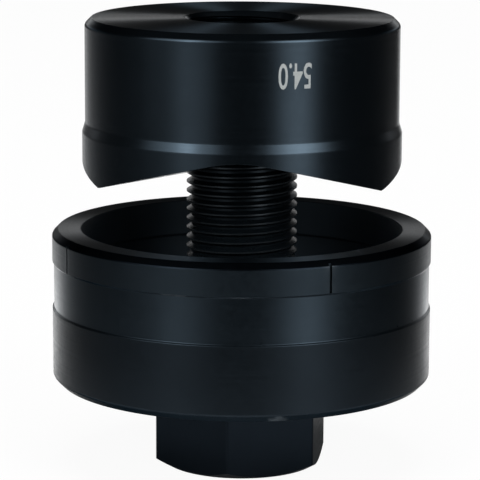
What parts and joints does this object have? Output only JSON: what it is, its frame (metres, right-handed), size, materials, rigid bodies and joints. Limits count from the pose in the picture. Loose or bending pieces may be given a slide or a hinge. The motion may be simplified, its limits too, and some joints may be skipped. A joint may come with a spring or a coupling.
{
  "type": "sheet metal hole punch",
  "caption": "Round sheet metal hole punch: a pointed punch is drawn into a cup-shaped die by a hex-headed screw that turns on a banded ball thrust bearing.",
  "frame": {"origin": "centre of the hex head's lower face, on which the set stands; it is the bottom centre of the bounding box", "axes": "+Z along the draw screw, from its hex head towards the punch; -Y towards the camera of the picture"},
  "size_m": [0.0644, 0.0644, 0.0765],
  "materials": {
    "punch_steel": "black oxide, satin, with a brighter cutting land",
    "die_steel": "black oxide, turned, satin",
    "screw_steel": "black oxide, oiled",
    "race_steel": "ground bearing steel",
    "band_steel": "drawn sheet steel",
    "cage_steel": "pressed sheet steel",
    "ball_steel": "polished bearing steel"
  },
  "bodies": {
    "die_body": {"die": "die_steel", "bearing_housing_washer": "race_steel", "bearing_band": "band_steel"},
    "screw_body": {"draw_screw": "screw_steel", "bearing_shaft_washer": "race_steel"},
    "punch_body": {"punch": "punch_steel"},
    "cage_body": {"bearing_cage": "cage_steel", "bearing_ball_01": "ball_steel", "bearing_ball_02": "ball_steel", "bearing_ball_03": "ball_steel", "bearing_ball_04": "ball_steel", "bearing_ball_05": "ball_steel", "bearing_ball_06": "ball_steel", "bearing_ball_07": "ball_steel", "bearing_ball_08": "ball_steel", "bearing_ball_09": "ball_steel", "bearing_ball_10": "ball_steel", "bearing_ball_11": "ball_steel", "bearing_ball_12": "ball_steel", "bearing_ball_13": "ball_steel", "bearing_ball_14": "ball_steel"}
  },
  "joints": [
    {"name": "screw_turn", "type": "hinge", "parent": "die_body", "child": "screw_body", "pos_m": [0, 0, 0], "axis": [0, 0, 1], "range_deg": [-2880, 3960]},
    {"name": "punch_travel", "type": "slide", "parent": "die_body", "child": "punch_body", "axis": [0, 0, 1], "range_m": [-0.01746, 0.0127]},
    {"name": "cage_turn", "type": "hinge", "parent": "die_body", "child": "cage_body", "pos_m": [0, 0, 0.017], "axis": [0, 0, 1], "range_deg": [-1440, 1980]}
  ],
  "couplings": [
    {"joint": "screw_turn", "follows": "punch_travel", "rad_per_m": -3957.9},
    {"joint": "cage_turn", "follows": "punch_travel", "rad_per_m": -1979}
  ]
}
